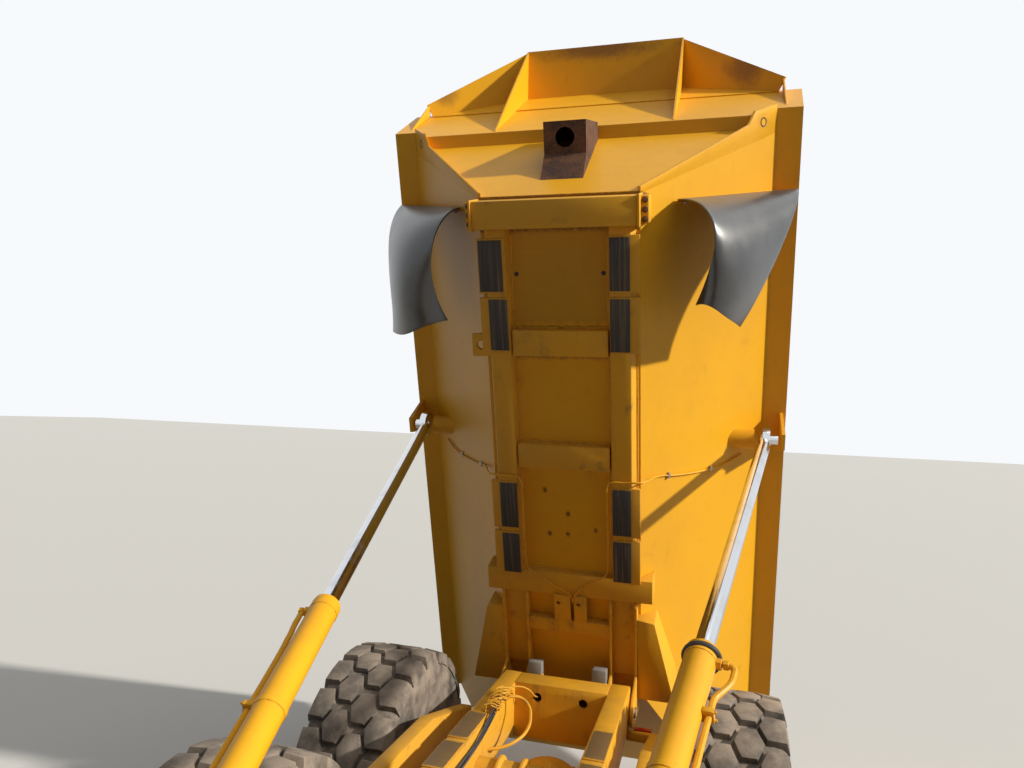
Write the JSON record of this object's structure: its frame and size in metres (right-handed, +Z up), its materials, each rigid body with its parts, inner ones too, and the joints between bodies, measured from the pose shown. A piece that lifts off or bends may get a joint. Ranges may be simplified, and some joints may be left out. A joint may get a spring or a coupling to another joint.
{
  "type": "articulated dump truck",
  "caption": "Articulated hauler with raised load body on hoist cylinders, steering hitch, walking beam bogie and rolling wheels.",
  "frame": {"origin": "on the ground below the middle of the whole truck's box, load body raised", "axes": "+X to the truck's left, +Y to its rear, +Z up"},
  "size_m": [2.98, 11.171, 6.2741],
  "materials": {
    "body_paint": "worn yellow gloss paint, scratched and rusted at edges",
    "frame_paint": "dusty yellow paint over weld and casting",
    "black_steel": "satin black paint",
    "rusty_steel": "bare rusted plate",
    "tyre_rubber": "dusty tread rubber",
    "flap_rubber": "worn sheet rubber",
    "chrome_rod": "polished hard chrome with oil film",
    "bare_steel": "worn bare steel",
    "window_glass": "tinted safety glass",
    "lamp_lens": "clear lens",
    "red_lens": "red lens",
    "seat_fabric": "dark seat cloth",
    "dash_plastic": "grained moulding",
    "grey_rubber": "weathered grey rubber"
  },
  "bodies": {
    "tractor": {"tractor_frame": "frame_paint", "front_axle": "frame_paint", "engine_block": "bare_steel", "deck_and_fenders": "body_paint", "front_bumper": "frame_paint", "cab_shell": "body_paint", "cab_glass": "window_glass", "driver_seat": "seat_fabric", "cab_controls": "dash_plastic", "steps_and_rails": "black_steel", "side_tanks": "body_paint", "mirrors": "black_steel", "headlamps": "lamp_lens"},
    "hood": {"hood_shell": "body_paint", "radiator_grille": "black_steel"},
    "cab_door": {"cab_door": "body_paint", "door_glass": "window_glass"},
    "hitch": {"hitch": "frame_paint"},
    "trailer": {"trailer_frame": "frame_paint", "bogie_axles": "frame_paint", "bogie_beams": "frame_paint", "drive_shafts": "bare_steel", "tip_pins": "bare_steel", "bump_stops": "grey_rubber", "tail_lamps": "red_lens", "exhaust_pipe": "rusty_steel"},
    "dump_body": {"body_shell": "body_paint", "body_underframe": "frame_paint", "wear_pads": "flap_rubber", "mud_flaps": "flap_rubber", "exhaust_inlet": "rusty_steel"},
    "hoist_barrel_left": {"hoist_barrel_left": "body_paint"},
    "hoist_rod_left": {"hoist_rod_left": "chrome_rod"},
    "steer_barrel_left": {"steer_barrel_left": "frame_paint"},
    "steer_rod_left": {"steer_rod_left": "chrome_rod"},
    "hoist_barrel_right": {"hoist_barrel_right": "body_paint"},
    "hoist_rod_right": {"hoist_rod_right": "chrome_rod"},
    "steer_barrel_right": {"steer_barrel_right": "frame_paint"},
    "steer_rod_right": {"steer_rod_right": "chrome_rod"},
    "wheel_front_left": {"tyre_front_left": "tyre_rubber", "rim_front_left": "frame_paint"},
    "wheel_front_right": {"tyre_front_right": "tyre_rubber", "rim_front_right": "frame_paint"},
    "wheel_mid_left": {"tyre_mid_left": "tyre_rubber", "rim_mid_left": "frame_paint"},
    "wheel_mid_right": {"tyre_mid_right": "tyre_rubber", "rim_mid_right": "frame_paint"},
    "wheel_rear_left": {"tyre_rear_left": "tyre_rubber", "rim_rear_left": "frame_paint"},
    "wheel_rear_right": {"tyre_rear_right": "tyre_rubber", "rim_rear_right": "frame_paint"}
  },
  "joints": [
    {"name": "steer", "type": "hinge", "parent": "tractor", "child": "hitch", "pos_m": [0, -1.43553, 0.94], "axis": [0, 0, 1], "range_deg": [-45, 45]},
    {"name": "oscillate", "type": "hinge", "parent": "hitch", "child": "trailer", "pos_m": [0, -0.73553, 0.94], "axis": [0, 1, 0], "range_deg": [-12, 12]},
    {"name": "tip", "type": "hinge", "parent": "trailer", "child": "dump_body", "pos_m": [0, 3.56447, 1.245], "axis": [1, 0, 0], "range_deg": [0, 70], "deforming": ["mud_flaps"]},
    {"name": "hood_tilt", "type": "hinge", "parent": "tractor", "child": "hood", "pos_m": [0, -5.43553, 1.06], "axis": [1, 0, 0], "range_deg": [0, 60]},
    {"name": "cab_door_swing", "type": "hinge", "parent": "tractor", "child": "cab_door", "pos_m": [0.772, -3.36553, 2.5], "axis": [0, 0, -1], "range_deg": [0, 80]},
    {"name": "hoist_swing_left", "type": "hinge", "parent": "trailer", "child": "hoist_barrel_left", "pos_m": [0.56, -0.35353, 1.274], "axis": [0.0438, 0.3918, -0.919], "range_deg": [-0.5, 8.35]},
    {"name": "hoist_slide_left", "type": "slide", "parent": "hoist_barrel_left", "child": "hoist_rod_left", "axis": [0.1579, 0.9056, 0.3936], "range_m": [-2.1879, 0.005]},
    {"name": "steer_swing_left", "type": "hinge", "parent": "tractor", "child": "steer_barrel_left", "pos_m": [0.5, -2.38553, 0.94], "axis": [0, 0, 1], "range_deg": [-8, 8]},
    {"name": "steer_slide_left", "type": "slide", "parent": "steer_barrel_left", "child": "steer_rod_left", "axis": [-0.0694, 0.9976, 0], "range_m": [-0.32, 0.32]},
    {"name": "hoist_swing_right", "type": "hinge", "parent": "trailer", "child": "hoist_barrel_right", "pos_m": [-0.56, -0.35353, 1.274], "axis": [0.0438, -0.3918, 0.919], "range_deg": [-0.5, 8.35]},
    {"name": "hoist_slide_right", "type": "slide", "parent": "hoist_barrel_right", "child": "hoist_rod_right", "axis": [-0.1579, 0.9056, 0.3936], "range_m": [-2.1879, 0.005]},
    {"name": "steer_swing_right", "type": "hinge", "parent": "tractor", "child": "steer_barrel_right", "pos_m": [-0.5, -2.38553, 0.94], "axis": [0, 0, 1], "range_deg": [-8, 8]},
    {"name": "steer_slide_right", "type": "slide", "parent": "steer_barrel_right", "child": "steer_rod_right", "axis": [0.0694, 0.9976, 0], "range_m": [-0.32, 0.32]},
    {"name": "roll_front_left", "type": "hinge", "parent": "tractor", "child": "wheel_front_left", "pos_m": [1.12, -2.82553, 0.81], "axis": [1, 0, 0], "continuous": true},
    {"name": "roll_front_right", "type": "hinge", "parent": "tractor", "child": "wheel_front_right", "pos_m": [-1.12, -2.82553, 0.81], "axis": [1, 0, 0], "continuous": true},
    {"name": "roll_mid_left", "type": "hinge", "parent": "trailer", "child": "wheel_mid_left", "pos_m": [1.12, 1.34447, 0.81], "axis": [1, 0, 0], "continuous": true},
    {"name": "roll_mid_right", "type": "hinge", "parent": "trailer", "child": "wheel_mid_right", "pos_m": [-1.12, 1.34447, 0.81], "axis": [1, 0, 0], "continuous": true},
    {"name": "roll_rear_left", "type": "hinge", "parent": "trailer", "child": "wheel_rear_left", "pos_m": [1.12, 3.04447, 0.81], "axis": [1, 0, 0], "continuous": true},
    {"name": "roll_rear_right", "type": "hinge", "parent": "trailer", "child": "wheel_rear_right", "pos_m": [-1.12, 3.04447, 0.81], "axis": [1, 0, 0], "continuous": true}
  ],
  "couplings": [
    {"joint": "hoist_swing_left", "follows": "tip", "ratio": 0.11207},
    {"joint": "hoist_slide_left", "follows": "tip", "m_per_rad": -1.7867},
    {"joint": "steer_swing_left", "follows": "steer", "ratio": 0.15556},
    {"joint": "steer_slide_left", "follows": "steer", "m_per_rad": 0.40341},
    {"joint": "hoist_swing_right", "follows": "tip", "ratio": 0.11207},
    {"joint": "hoist_slide_right", "follows": "tip", "m_per_rad": -1.7867},
    {"joint": "steer_swing_right", "follows": "steer", "ratio": 0.15556},
    {"joint": "steer_slide_right", "follows": "steer", "m_per_rad": -0.40341}
  ]
}
